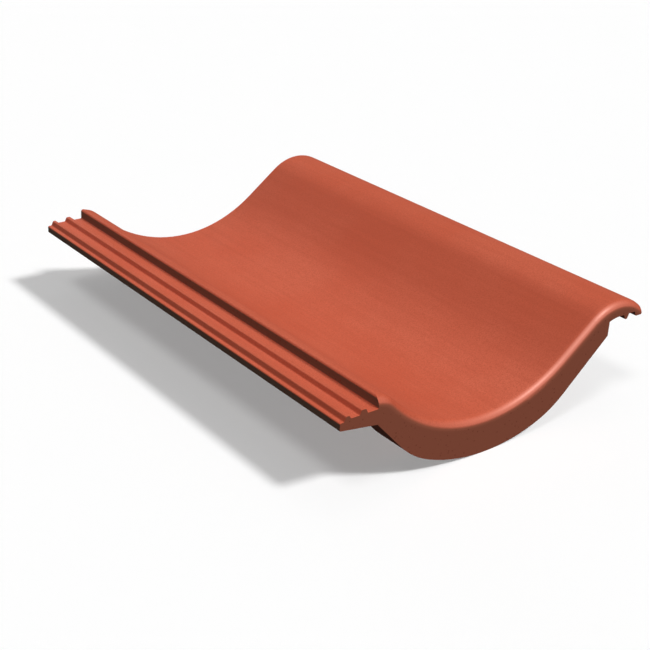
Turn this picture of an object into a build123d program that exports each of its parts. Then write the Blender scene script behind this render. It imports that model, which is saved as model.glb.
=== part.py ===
from build123d import *
import math
import os

# A concrete interlocking roof tile with one deep trough and one high roll, cast as one piece.
# X runs across the tile from its underlock to its overlock, Y from the tail to the head, and Z up
# from the level floor that the tile lies on with its trough down. The section is drawn with x = 0 at
# the underlock's outer side and y = 0 at the tail, and the finished tile is centred over its origin.
# Millimetres and degrees.

# Overall size
tile_length = 420.0
tile_width = 300.0
body_thickness = 12.0

# Top surface: down from the upstand, through the trough, up the right flank and over the roll
tail_thickness = 30.2
shoulder_reach = 11.5
shoulder_angle = 16.0
shoulder_radius = 20.0
left_flank_angle = 43.5
right_flank_angle = 37.7
roll_radius = 44.0
roll_edge_angle = 36.9

# Underlock: strip, outer rib, outer channel, middle rib and inner channel, left of the upstand
underlock_rise = 36.6
underside_drop = 7.3
underside_angle = 8.0
underside_joint_radius = 25.0
strip_width = 3.3
strip_drop = 1.4
outer_rib_width = 2.5
outer_rib_rise = 2.4
outer_channel_width = 7.2
middle_rib_width = 3.6
middle_rib_rise = 3.5
inner_channel_width = 9.2
upstand_rise = 8.9
rib_flank_width = 1.7
lock_edge_radius = 1.0
upstand_edge_radius = 2.0

# Overlock: the rib and lip that drop into the channels of the next tile's underlock
lock_gap = 0.7
overlock_clearance = 6.0
overlock_rib_depth = 4.2
overlock_thickness = 12.0
overlock_edge_radius = 1.6
lip_edge_radius = 2.5

# Tail: the thick apron with its flat face, rounded nose and faired back
apron_length = 30.0
apron_fairing = 22.0
apron_offset = 2.1
apron_flattening = 3.5
apron_left_turn_angle = 22.3
apron_right_turn_angle = 19.3
apron_left_angle = 46.9
apron_right_angle = 41.8
apron_end_inset = 10.9
apron_end_drop = 13.7
nose_radius = 7.1

# Weather ribs across the underside, behind the apron
weather_rib_count = 2
weather_rib_width = 8.0
weather_rib_depth = 7.0
weather_rib_draft = 2.0
weather_rib_spacing = 28.0
weather_rib_reach = 4.0

# Batten nibs under the head, one on each side of the trough
nib_setback = 24.0
nib_thickness = 15.0
nib_width = 30.0
nib_spacing = 76.0
nib_draft_angle = 5.0
nib_edge_radius = 2.0

# How far a cutter runs past what it opens, and the shortest line that is drawn
overrun = 3.0
shortest_line = 0.01


def sine(angle):
    return math.sin(math.radians(angle))


def cosine(angle):
    return math.cos(math.radians(angle))


def tangent(angle):
    return math.tan(math.radians(angle))


def crossing(line_a, line_b):
    """Where two lines of the section meet, each given as (x, z, slope)."""
    xa, za, slope_a = line_a
    xb, zb, slope_b = line_b
    x = (zb - za + slope_a * xa - slope_b * xb) / (slope_a - slope_b)
    return x, za + slope_a * (x - xa)


def height_on(line, x):
    return line[1] + line[2] * (x - line[0])


def lowered(line, depth):
    """A line of the section moved into the concrete by a depth square to it."""
    x, z, slope = line
    return x, z - depth * math.hypot(1, slope), slope


def line_below(centre_x, centre_z, radius, angle):
    """The line at a slope angle that touches a circle from below."""
    return centre_x + radius * sine(angle), centre_z - radius * cosine(angle), tangent(angle)


def line_above(centre_x, centre_z, radius, angle):
    """The line at a slope angle that touches a circle from above."""
    return centre_x - radius * sine(angle), centre_z + radius * cosine(angle), tangent(angle)


# Heights above the floor
channel_z = tail_thickness + underlock_rise
overlock_z = channel_z + overlock_clearance
ceiling_z = overlock_z + overlock_rib_depth
roll_centre_z = ceiling_z + overlock_thickness - roll_radius

# Places across the underlock, and the width that a laid tile covers
outer_rib_x = strip_width + rib_flank_width
outer_channel_x = outer_rib_x + outer_rib_width + rib_flank_width
middle_rib_x = outer_channel_x + outer_channel_width + rib_flank_width
inner_channel_x = middle_rib_x + middle_rib_width + rib_flank_width
upstand_x = inner_channel_x + inner_channel_width
cover_width = tile_width + lock_gap - upstand_x

# The roll ends where the rounding of the lip's outer edge starts
lip_edge_reach = lip_edge_radius * tangent((90 - roll_edge_angle) / 2) * cosine(roll_edge_angle)
roll_centre_x = tile_width - lip_edge_reach - roll_radius * sine(roll_edge_angle)

# Lines that the section is drawn from, as (x, z, slope)
shoulder = (upstand_x, channel_z + upstand_rise, -tangent(shoulder_angle))
shoulder_end_x = upstand_x + shoulder_reach
left_flank = (shoulder_end_x, height_on(shoulder, shoulder_end_x), -tangent(left_flank_angle))
right_flank = line_above(roll_centre_x, roll_centre_z, roll_radius, right_flank_angle)
roll_edge = line_above(roll_centre_x, roll_centre_z, roll_radius, -roll_edge_angle)
underside = (0, channel_z - underside_drop, -tangent(underside_angle))

# The trough is the arc that touches both flanks and the top of the tail's full thickness
left_foot_x = crossing(left_flank, (0, tail_thickness, 0))[0]
right_foot_x = crossing(right_flank, (0, tail_thickness, 0))[0]
foot_shares = (tangent(left_flank_angle / 2), tangent(right_flank_angle / 2))
trough_radius = (right_foot_x - left_foot_x) / sum(foot_shares)
trough_centre_x = left_foot_x + trough_radius * foot_shares[0]

# The apron's underside follows the trough, a little flatter and off its centre
apron_radius = trough_radius + tail_thickness - apron_flattening
apron_centre_x = trough_centre_x + apron_offset
apron_end_x = roll_centre_x - apron_end_inset


def rounded_path(corners):
    """Pieces of a path in the XZ plane through corners (x, z, radius): lines, and arcs that touch them.

    A line is (start, end) and an arc is (start, end, middle, centre).
    """
    points = [Vector(x, 0, z) for x, z, _ in corners]
    pieces = []
    start = points[0]
    for before, point, after, corner in zip(points, points[1:], points[2:], corners[1:]):
        radius = corner[2]
        if radius == 0:
            pieces.append((start, point))
            start = point
            continue
        back = (before - point).normalized()
        on = (after - point).normalized()
        half = math.acos(back.dot(on)) / 2
        enter = point + back * (radius / math.tan(half))
        leave = point + on * (radius / math.tan(half))
        centre = point + (back + on).normalized() * (radius / math.sin(half))
        middle = centre + (point - centre).normalized() * radius
        pieces.append((start, enter))
        pieces.append((enter, leave, middle, centre))
        start = leave
    pieces.append((start, points[-1]))
    return [piece for piece in pieces if (piece[1] - piece[0]).length > shortest_line]


def closed_face(corners):
    """A face from corners (x, z, radius) in order. Its edge starts halfway along the closing side."""
    (first_x, first_z, _), (last_x, last_z, _) = corners[0], corners[-1]
    middle = ((first_x + last_x) / 2, (first_z + last_z) / 2, 0)
    edges = []
    for start, end, *arc in rounded_path([middle, *corners, middle]):
        edges.append(ThreePointArc(start, arc[0], end) if arc else Line(start, end))
    return Face(Wire(edges))


def swept_along(corners, section, side):
    """One solid for each line and arc of a path, from a section drawn square to it.

    The section takes (y, depth) pieces to a face: depth runs into the concrete, away from the side
    of the path that faces up (1) or down (-1).
    """
    solids = []
    for start, end, *arc in rounded_path(corners):
        run = (end - start).normalized()
        outward = Vector(-run.Z, 0, run.X) * side
        if arc:
            centre = arc[1]
            radial = (start - centre).normalized()
            outward = radial if radial.dot(outward) > 0 else radial * -1
            turn = (start - centre).get_signed_angle(end - centre, Vector(0, 1, 0))
            solids.append(revolve(section(start, outward), Axis(centre, (0, 1, 0)), turn))
        else:
            solids.append(extrude(section(start, outward), (end - start).length, run))
    return solids


def section_points(place, outward, points):
    """Points given as (y, depth) at a place of the path."""
    return [place + Vector(0, y, 0) - outward * depth for y, depth in points]


def polygon_section(place, outward, points):
    return Face(Wire.make_polygon(section_points(place, outward, points), close=True))


def surface_corners(depth):
    """Corners of the top surface, lowered into the concrete: shoulder, trough and roll."""
    shoulder_line = lowered(shoulder, depth)
    left_line = lowered(left_flank, depth)
    right_line = lowered(right_flank, depth)
    return [
        (*crossing(shoulder_line, left_line), shoulder_radius - depth),
        (*crossing(left_line, right_line), trough_radius + depth),
        (*crossing(right_line, lowered(roll_edge, depth)), roll_radius - depth),
    ]


def underlock_corners():
    """Outline of the ledge from its underside to the foot of the upstand."""
    soft = lock_edge_radius
    outer_top_z = channel_z + outer_rib_rise
    middle_top_z = channel_z + middle_rib_rise
    return [
        (0, channel_z - underside_drop, soft),
        (0, channel_z - strip_drop, soft),
        (strip_width, channel_z - strip_drop, soft),
        (outer_rib_x, outer_top_z, soft),
        (outer_rib_x + outer_rib_width, outer_top_z, soft),
        (outer_channel_x, channel_z, soft),
        (middle_rib_x - rib_flank_width, channel_z, soft),
        (middle_rib_x, middle_top_z, soft),
        (middle_rib_x + middle_rib_width, middle_top_z, soft),
        (inner_channel_x, channel_z, soft),
        (upstand_x, channel_z, soft),
    ]


def overlock_corners():
    """Outline of the overlock's underside from the lip inward, over the next tile's channels."""
    lip_left_x = cover_width + inner_channel_x + lock_gap
    rib_right_x = cover_width + middle_rib_x - rib_flank_width - lock_gap
    rib_left_x = cover_width + outer_channel_x + lock_gap
    return [
        (lip_left_x, overlock_z, overlock_edge_radius),
        (lip_left_x - rib_flank_width, ceiling_z, lock_edge_radius),
        (rib_right_x, ceiling_z, lock_edge_radius),
        (rib_right_x - rib_flank_width, overlock_z, overlock_edge_radius),
        (rib_left_x + rib_flank_width, overlock_z, overlock_edge_radius),
        (rib_left_x, ceiling_z, lock_edge_radius),
    ]


def body_face():
    """The section that runs the whole length of the tile."""
    _, inner_trough, inner_roll = surface_corners(body_thickness)
    ledge_joint = crossing(underside, lowered(left_flank, body_thickness))
    ceiling_joint = crossing(lowered(right_flank, body_thickness), (0, ceiling_z, 0))
    return closed_face([
        *underlock_corners(),
        (upstand_x, channel_z + upstand_rise, upstand_edge_radius),
        *surface_corners(0),
        (tile_width, height_on(roll_edge, tile_width), lip_edge_radius),
        (tile_width, overlock_z, overlock_edge_radius),
        *overlock_corners(),
        (*ceiling_joint, inner_roll[2]),
        inner_trough,
        (*ledge_joint, underside_joint_radius),
    ])


def apron_underside():
    """Corners of the apron's underside from left to right, touching the floor at its lowest place."""
    left_line = (upstand_x, height_on(underside, upstand_x), -tangent(apron_left_angle))
    right_line = (apron_end_x, ceiling_z - apron_end_drop, tangent(apron_right_angle))
    left_turn = line_below(apron_centre_x, apron_radius, apron_radius, -apron_left_turn_angle)
    right_turn = line_below(apron_centre_x, apron_radius, apron_radius, apron_right_turn_angle)
    return [
        (*left_line[:2], 0),
        apron_knee(left_line, left_turn, apron_left_angle - apron_left_turn_angle),
        (*crossing(left_turn, right_turn), apron_radius),
        apron_knee(right_line, right_turn, apron_right_angle - apron_right_turn_angle),
        (*right_line[:2], 0),
    ]


def apron_knee(flank, turn, angle):
    """The corner between the apron's flank and its bottom arc, with the radius that touches both."""
    x, z = crossing(flank, turn)
    return x, z, math.hypot(turn[0] - x, turn[1] - z) / tangent(angle / 2)


def fairing_section(place, outward):
    """What is cut from the back of the apron so that it runs out into the body."""
    end = apron_length + apron_fairing + overrun
    depth = tail_thickness - body_thickness / 2
    return polygon_section(place, outward, [
        (apron_length, 0),
        (apron_length + apron_fairing, depth),
        (end, depth),
        (end, -overrun),
        (apron_length, -overrun),
    ])


def make_apron():
    """The thick tail, from the middle of the body's section down to the floor."""
    middle = body_thickness / 2
    upper = [
        (upstand_x, height_on(lowered(shoulder, middle), upstand_x), 0),
        *surface_corners(middle)[:2],
        (apron_end_x, height_on(lowered(right_flank, middle), apron_end_x), 0),
    ]
    lower = apron_underside()
    apron = extrude(closed_face([*upper, *reversed(lower)]), apron_length + apron_fairing, (0, 1, 0))
    for cutter in swept_along(lower, fairing_section, -1):
        apron = apron - cutter
    return apron


def nose_section(place, outward):
    """What the rounded nose takes off the tail's top edge: a square corner less a quarter round."""
    eased = nose_radius * (1 - cosine(45))
    face_end, eased_point, top_end, top_out, far_out, face_out = section_points(place, outward, [
        (0, nose_radius),
        (eased, eased),
        (nose_radius, 0),
        (nose_radius, -overrun),
        (-overrun, -overrun),
        (-overrun, nose_radius),
    ])
    return Face(Wire([
        ThreePointArc(face_end, eased_point, top_end),
        Line(top_end, top_out),
        Line(top_out, far_out),
        Line(far_out, face_out),
        Line(face_out, face_end),
    ]))


def nose_cutters():
    left_x = upstand_x - overrun
    right_x = tile_width + overrun
    return swept_along([
        (left_x, height_on(shoulder, left_x), 0),
        *surface_corners(0),
        (right_x, height_on(roll_edge, right_x), 0),
    ], nose_section, 1)


def weather_rib(start_y):
    """One rib that follows the trough's underside from flank to flank."""
    inner_radius = trough_radius + body_thickness
    left_x = trough_centre_x - inner_radius * sine(left_flank_angle) - weather_rib_reach
    right_x = trough_centre_x + inner_radius * sine(right_flank_angle) + weather_rib_reach
    left_line = lowered(left_flank, body_thickness)
    right_line = lowered(right_flank, body_thickness)

    def section(place, outward):
        return polygon_section(place, outward, [
            (start_y, body_thickness / 2),
            (start_y, 0),
            (start_y + weather_rib_draft, -weather_rib_depth),
            (start_y + weather_rib_width - weather_rib_draft, -weather_rib_depth),
            (start_y + weather_rib_width, 0),
            (start_y + weather_rib_width, body_thickness / 2),
        ])

    return swept_along([
        (left_x, height_on(left_line, left_x), 0),
        surface_corners(body_thickness)[1],
        (right_x, height_on(right_line, right_x), 0),
    ], section, -1)


def batten_nibs():
    """Two tapered lugs that stand on the floor, with upright faces towards the tail."""
    middle_surface = surface_corners(body_thickness / 2)
    left_x = upstand_x
    right_x = roll_centre_x
    below_surface = extrude(closed_face([
        (left_x, 0, 0),
        (left_x, height_on(lowered(left_flank, body_thickness / 2), left_x), 0),
        middle_surface[1],
        (right_x, height_on(lowered(right_flank, body_thickness / 2), right_x), 0),
        (right_x, 0, 0),
    ]), tile_length, (0, 1, 0))
    height = tail_thickness + nib_width
    taper = height * tangent(nib_draft_angle)
    face_y = tile_length - nib_setback
    nibs = []
    for side in (-1, 1):
        centre_x = trough_centre_x + side * nib_spacing / 2
        front = closed_face([
            (centre_x - nib_width / 2, 0, 0),
            (centre_x - nib_width / 2 - taper, height, 0),
            (centre_x + nib_width / 2 + taper, height, 0),
            (centre_x + nib_width / 2, 0, 0),
        ])
        profile = Face(Wire.make_polygon([
            (right_x, face_y, 0),
            (right_x, face_y, height),
            (right_x, face_y + nib_thickness + taper, height),
            (right_x, face_y + nib_thickness, 0),
        ], close=True))
        nib = extrude(front, tile_length, (0, 1, 0)) & extrude(profile, right_x, (-1, 0, 0))
        nib = fillet(nib.edges().filter_by(lambda edge: edge.center().Z < height), nib_edge_radius)
        nibs.append(nib & below_surface)
    return nibs


def make_tile():
    tile = extrude(body_face(), tile_length, (0, 1, 0)) + make_apron()
    for cutter in nose_cutters():
        tile = tile - cutter
    first_rib_y = apron_length + apron_fairing
    for number in range(weather_rib_count):
        for piece in weather_rib(first_rib_y + number * weather_rib_spacing):
            tile = tile + piece
    for nib in batten_nibs():
        tile = tile + nib
    return tile


if __name__ == "__main__":
    os.makedirs("parts", exist_ok=True)
    roof_tile = Pos(-tile_width / 2, -tile_length / 2, 0) * make_tile()
    roof_tile.label = "roof_tile"
    export_step(roof_tile, "parts/roof_tile.step")
    print(roof_tile.bounding_box(), roof_tile.volume, len(roof_tile.solids()), roof_tile.center(CenterOf.MASS))
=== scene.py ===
import math

import bpy
from mathutils import Matrix, Vector

# A cast concrete roof tile, terracotta red, lying trough down on a plain white floor.
# Metres, in the tile's own frame: +X to the overlock, +Y to the head, +Z up.

# Camera, at the photograph's viewing angle: angles in degrees, lens and sensor in millimetres
CAMERA_PLACE = Vector((-0.6093, -0.7613, 0.4692))
CAMERA_YAW = 38.74
CAMERA_PITCH = 24.93
CAMERA_ROLL = 3.07
CAMERA_LENS = 69.92
SENSOR_WIDTH = 36.0

# Lamps: name, direction to the lamp, share of a full exposure that it gives, width of its disc
# in degrees, and whether it casts a shadow
LAMPS = (
    ("key", (0.255, -0.72, 1.00), 0.60, 9.0, True),
    ("side", (-0.47, -0.30, 1.00), 0.15, 14.0, True),
    ("front", (-0.12, -0.62, 1.00), 0.12, 24.0, False),
    ("top", (0.20, 0.14, 1.00), 0.22, 30.0, False),
    ("back", (0.10, 1.00, 0.06), 0.26, 40.0, False),
)

# World: its share of the light on the object, and its strength where it is seen
WORLD_SHARE = 0.04
BACKDROP_STRENGTH = 1.0
WHITE = (1.0, 1.0, 1.0, 1.0)

# Floor: how far it reaches to each side, and its colour to the light that would bounce up from it
FLOOR_REACH = 40.0
FLOOR_BOUNCE = (0.06, 0.06, 0.06, 1.0)

# Concrete: the coated top with its mottling and sand, the darker tone that streaks, sand and the painted
# shade on steep faces share, a painted highlight along the nose, the duller raw faces that no coat
# reaches, darkened further as painted shade, painted shade on upright sides, and the pinholes
BODY_COLOUR = (0.610, 0.115, 0.057, 1.0)
PALE_COLOUR = (0.645, 0.139, 0.074, 1.0)
DARK_COLOUR = (0.490, 0.090, 0.044, 1.0)
NOSE_HIGHLIGHT_COLOUR = (0.900, 0.265, 0.175, 1.0)
RAW_AND_SHADE_COLOUR = (0.340, 0.104, 0.061, 1.0)
SIDE_SHADE_COLOUR = (0.225, 0.130, 0.090, 1.0)
PORE_COLOUR = (0.220, 0.058, 0.034, 1.0)
SHEEN_TINT = (1.000, 0.520, 0.420, 1.0)

# Textures: features per metre, levels of detail, and roughness of the noise
CLOUDS = (14, 4, 0.5)
STREAKS = (220, 2, 0.5)
SAND = (900, 3, 0.6)
GRAIN = (700, 3, 0.6)
PORE_SCALE = 260

# The values of each texture between which it goes from nothing to full
CLOUD_SPAN = (0.35, 0.65)
STREAK_SPAN = (0.40, 0.75)
SAND_SPAN = (0.42, 0.72)
GRAIN_SPAN = (0.3, 0.7)
PORE_SPAN = (0.20, 0.08)

# How much streaks are squeezed along the tile, how strong streaks are, and how strong the painted shade on
# steep sides is
STREAK_SQUEEZE = 0.04
STREAK_STRENGTH = 0.35
STEEP_SHADE_STRENGTH = 0.34

# The parts of a face's normal between which each share goes from nothing to full: upward for the
# coat, which also paints shade where faces turn away from upward, sideways and squared for painted
# shade on steep and upright sides, towards the tail for the nose, and sideways again for the nose, whose
# painted highlight fades on the shoulder's side of the trough
COAT_SPAN = (0.20, 0.42)
STEEP_SHADE_SPAN = (0.14, 0.39)
SIDE_SHADE_SPAN = (0.82, 0.95)
NOSE_SPAN = (-0.32, -0.68)
NOSE_FADE_SPAN = (0.40, -0.42)

# Gloss and relief: specular level of raw and coated faces, roughness from the finest grain to
# the coarsest, what the nose adds to each, its clear coat, and the grain's depth
SPECULAR_SPAN = (0.10, 0.40)
NOSE_SPECULAR = 0.60
ROUGHNESS_SPAN = (0.50, 0.60)
NOSE_ROUGHNESS = -0.12
NOSE_COAT = 0.50
COAT_ROUGHNESS = 0.42
GRAIN_STRENGTH = 0.25
GRAIN_DEPTH = 0.0002


def new_nodes(name):
    """An empty material, with its nodes and links."""
    material = bpy.data.materials.new(name)
    material.use_nodes = True
    material.node_tree.nodes.clear()
    return material, material.node_tree.nodes, material.node_tree.links


def finished(material, nodes, links, shader):
    """The material, with its shader joined to its output."""
    output = nodes.new("ShaderNodeOutputMaterial")
    links.new(shader.outputs["BSDF"], output.inputs["Surface"])
    return material


def noise(nodes, links, place, scale, detail, roughness):
    texture = nodes.new("ShaderNodeTexNoise")
    texture.inputs["Scale"].default_value = scale
    texture.inputs["Detail"].default_value = detail
    texture.inputs["Roughness"].default_value = roughness
    links.new(place, texture.inputs["Vector"])
    return texture.outputs["Fac"]


def drawn_out(nodes, links, place):
    """Coordinates squeezed along the tile, so that a texture runs in long streaks from tail to head."""
    squeeze = nodes.new("ShaderNodeMapping")
    squeeze.inputs["Scale"].default_value = (1, STREAK_SQUEEZE, 1)
    links.new(place, squeeze.inputs["Vector"])
    return squeeze.outputs["Vector"]


def ramp(nodes, links, value, low, high, out_low=0.0, out_high=1.0):
    """Maps low to high onto the output range, held at its ends."""
    node = nodes.new("ShaderNodeMapRange")
    for name, number in (("From Min", low), ("From Max", high), ("To Min", out_low), ("To Max", out_high)):
        node.inputs[name].default_value = number
    links.new(value, node.inputs["Value"])
    return node.outputs["Result"]


def pores(nodes, links, place):
    """Small round pinholes, 1 inside each and 0 between them."""
    texture = nodes.new("ShaderNodeTexVoronoi")
    texture.inputs["Scale"].default_value = PORE_SCALE
    texture.inputs["Randomness"].default_value = 1
    links.new(place, texture.inputs["Vector"])
    return ramp(nodes, links, texture.outputs["Distance"], *PORE_SPAN)


def combined(nodes, links, operation, first, second):
    """Two values joined by a sum or a product, which the operation names."""
    node = nodes.new("ShaderNodeMath")
    node.operation = operation
    links.new(first, node.inputs[0])
    links.new(second, node.inputs[1])
    return node.outputs["Value"]


def colour_socket(sockets, name):
    """A mix node has sockets of one name for every kind of value, and this is the one for colours."""
    return next(socket for socket in sockets if socket.name == name and socket.type == "RGBA")


def mix_colour(nodes, links, factor, first, second):
    node = nodes.new("ShaderNodeMix")
    node.data_type = "RGBA"
    links.new(factor, node.inputs["Factor"])
    for name, colour in (("A", first), ("B", second)):
        socket = colour_socket(node.inputs, name)
        if isinstance(colour, tuple):
            socket.default_value = colour
        else:
            links.new(colour, socket)
    return colour_socket(node.outputs, "Result")


def facing_shares(nodes, links):
    """Four shares from 0 to 1, by the way a face looks: coated, painted shade on steep faces, painted
    shade on upright sides, and nose.
    """
    normal = nodes.new("ShaderNodeTexCoord").outputs["Normal"]
    parts = nodes.new("ShaderNodeSeparateXYZ")
    links.new(normal, parts.inputs["Vector"])
    across, along, upward = (parts.outputs[axis] for axis in "XYZ")
    coated = ramp(nodes, links, upward, *COAT_SPAN)
    sideways = combined(nodes, links, "MULTIPLY", across, across)
    # Painted shade: faces that lean sideways are darkened
    steep_shade = ramp(nodes, links, sideways, *STEEP_SHADE_SPAN, 0, STEEP_SHADE_STRENGTH)
    # Painted shade on upright sides that face across the tile
    side_shade = ramp(nodes, links, sideways, *SIDE_SHADE_SPAN)
    # The nose's share sets its gloss and a painted highlight
    nose = combined(nodes, links, "MULTIPLY", coated, ramp(nodes, links, along, *NOSE_SPAN))
    nose = combined(nodes, links, "MULTIPLY", nose, ramp(nodes, links, across, *NOSE_FADE_SPAN))
    return coated, steep_shade, side_shade, nose


def coated_colour(nodes, links, place, steep_shade, nose):
    """Mottled, streaked and sanded, with painted shade where it is steep and a painted highlight along the
    nose.
    """
    clouds = ramp(nodes, links, noise(nodes, links, place, *CLOUDS), *CLOUD_SPAN)
    streaks = noise(nodes, links, drawn_out(nodes, links, place), *STREAKS)
    streaks = ramp(nodes, links, streaks, *STREAK_SPAN, 0, STREAK_STRENGTH)
    sand = ramp(nodes, links, noise(nodes, links, place, *SAND), *SAND_SPAN)
    colour = mix_colour(nodes, links, clouds, BODY_COLOUR, PALE_COLOUR)
    # Streaks and sand are the concrete's own darker tone; on steep faces the same tone is painted shade
    for share in (streaks, sand, steep_shade):
        colour = mix_colour(nodes, links, share, colour, DARK_COLOUR)
    # Painted highlight: the nose is mixed towards a pale colour
    return mix_colour(nodes, links, nose, colour, NOSE_HIGHLIGHT_COLOUR)


def raw_and_shade_colour(nodes, links, place, side_shade):
    """Bare concrete with pinholes, with painted shade on upright sides."""
    # Painted shade: upright sides take a darker colour
    colour = mix_colour(nodes, links, side_shade, RAW_AND_SHADE_COLOUR, SIDE_SHADE_COLOUR)
    return mix_colour(nodes, links, pores(nodes, links, place), colour, PORE_COLOUR)


def set_gloss(nodes, links, shader, grain, coated, nose):
    """Satin on coated faces, dull on raw ones, and glossiest along the nose."""
    level = ramp(nodes, links, coated, 0, 1, *SPECULAR_SPAN)
    level = combined(nodes, links, "ADD", level, ramp(nodes, links, nose, 0, 1, 0, NOSE_SPECULAR))
    rough = ramp(nodes, links, grain, *GRAIN_SPAN, *ROUGHNESS_SPAN)
    rough = combined(nodes, links, "ADD", rough, ramp(nodes, links, nose, 0, 1, 0, NOSE_ROUGHNESS))
    links.new(level, shader.inputs["Specular IOR Level"])
    links.new(rough, shader.inputs["Roughness"])
    links.new(ramp(nodes, links, nose, 0, 1, 0, NOSE_COAT), shader.inputs["Coat Weight"])
    shader.inputs["Specular Tint"].default_value = SHEEN_TINT
    shader.inputs["Coat Roughness"].default_value = COAT_ROUGHNESS


def set_relief(nodes, links, shader, grain):
    bump = nodes.new("ShaderNodeBump")
    bump.inputs["Strength"].default_value = GRAIN_STRENGTH
    bump.inputs["Distance"].default_value = GRAIN_DEPTH
    links.new(grain, bump.inputs["Height"])
    links.new(bump.outputs["Normal"], shader.inputs["Normal"])


def concrete_material():
    """Through-coloured concrete with a fine grain and a thin satin coat on the faces that look up; the
    darker raw faces below it are partly painted shade.
    """
    material, nodes, links = new_nodes("red_concrete")
    place = nodes.new("ShaderNodeTexCoord").outputs["Object"]
    coated, steep_shade, side_shade, nose = facing_shares(nodes, links)
    raw_and_shade = raw_and_shade_colour(nodes, links, place, side_shade)
    top = coated_colour(nodes, links, place, steep_shade, nose)
    grain = noise(nodes, links, place, *GRAIN)

    shader = nodes.new("ShaderNodeBsdfPrincipled")
    # Faces that don't look up take the raw colour: uncoated concrete, darkened further as painted shade
    links.new(mix_colour(nodes, links, coated, raw_and_shade, top), shader.inputs["Base Color"])
    set_gloss(nodes, links, shader, grain, coated, nose)
    set_relief(nodes, links, shader, grain)
    return finished(material, nodes, links, shader)


def floor_material():
    """White where it is seen, and dark to the light that would bounce up from it."""
    material, nodes, links = new_nodes("floor")
    seen = nodes.new("ShaderNodeLightPath").outputs["Is Camera Ray"]
    shader = nodes.new("ShaderNodeBsdfDiffuse")
    links.new(mix_colour(nodes, links, seen, FLOOR_BOUNCE, WHITE), shader.inputs["Color"])
    return finished(material, nodes, links, shader)


def make_floor():
    mesh = bpy.data.meshes.new("floor")
    corners = [(x * FLOOR_REACH, y * FLOOR_REACH, 0) for x, y in ((-1, -1), (1, -1), (1, 1), (-1, 1))]
    mesh.from_pydata(corners, [], [(0, 1, 2, 3)])
    mesh.materials.append(floor_material())
    floor = bpy.data.objects.new("floor", mesh)
    bpy.context.scene.collection.objects.link(floor)


def background(nodes, strength):
    shader = nodes.new("ShaderNodeBackground")
    shader.inputs["Color"].default_value = WHITE
    shader.inputs["Strength"].default_value = strength
    return shader.outputs["Background"]


def make_world():
    """White where it is seen, and a low even light on the object."""
    world = bpy.data.worlds.new("studio")
    bpy.context.scene.world = world
    world.use_nodes = True
    nodes = world.node_tree.nodes
    links = world.node_tree.links
    nodes.clear()
    seen = nodes.new("ShaderNodeLightPath").outputs["Is Camera Ray"]
    mixed = nodes.new("ShaderNodeMixShader")
    links.new(seen, mixed.inputs["Fac"])
    links.new(background(nodes, WORLD_SHARE), mixed.inputs[1])
    links.new(background(nodes, BACKDROP_STRENGTH), mixed.inputs[2])
    output = nodes.new("ShaderNodeOutputWorld")
    links.new(mixed.outputs["Shader"], output.inputs["Surface"])


def make_lamp(name, direction, share, disc, casts_shadow):
    """A far lamp. A share of 1 on a face square to it shows colours as they are written."""
    lamp = bpy.data.lights.new(name, "SUN")
    lamp.energy = math.pi * share
    lamp.angle = math.radians(disc)
    lamp.use_shadow = casts_shadow
    item = bpy.data.objects.new(name, lamp)
    item.rotation_mode = "QUATERNION"
    item.rotation_quaternion = Vector(direction).to_track_quat("Z", "Y")
    bpy.context.scene.collection.objects.link(item)


def make_camera():
    data = bpy.data.cameras.new("camera")
    data.sensor_width = SENSOR_WIDTH
    data.lens = CAMERA_LENS
    camera = bpy.data.objects.new("camera", data)
    turn = Matrix.Rotation(math.radians(-CAMERA_YAW), 4, "Z")
    tilt = Matrix.Rotation(math.radians(90 - CAMERA_PITCH), 4, "X")
    roll = Matrix.Rotation(math.radians(CAMERA_ROLL), 4, "Z")
    camera.matrix_world = Matrix.Translation(CAMERA_PLACE) @ turn @ tilt @ roll
    bpy.context.scene.collection.objects.link(camera)
    bpy.context.scene.camera = camera


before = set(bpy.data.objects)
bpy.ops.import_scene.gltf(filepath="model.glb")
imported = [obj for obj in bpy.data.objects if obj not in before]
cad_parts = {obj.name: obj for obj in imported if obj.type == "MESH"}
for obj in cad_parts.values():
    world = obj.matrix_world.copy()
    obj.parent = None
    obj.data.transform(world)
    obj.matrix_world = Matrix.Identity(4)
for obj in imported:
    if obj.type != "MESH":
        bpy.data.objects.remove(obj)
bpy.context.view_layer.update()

make_camera()
make_world()
for lamp in LAMPS:
    make_lamp(*lamp)
make_floor()

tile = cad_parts["roof_tile"]
concrete = concrete_material()
for slot in tile.material_slots:
    slot.material = concrete

bpy.context.scene.view_settings.view_transform = "Standard"
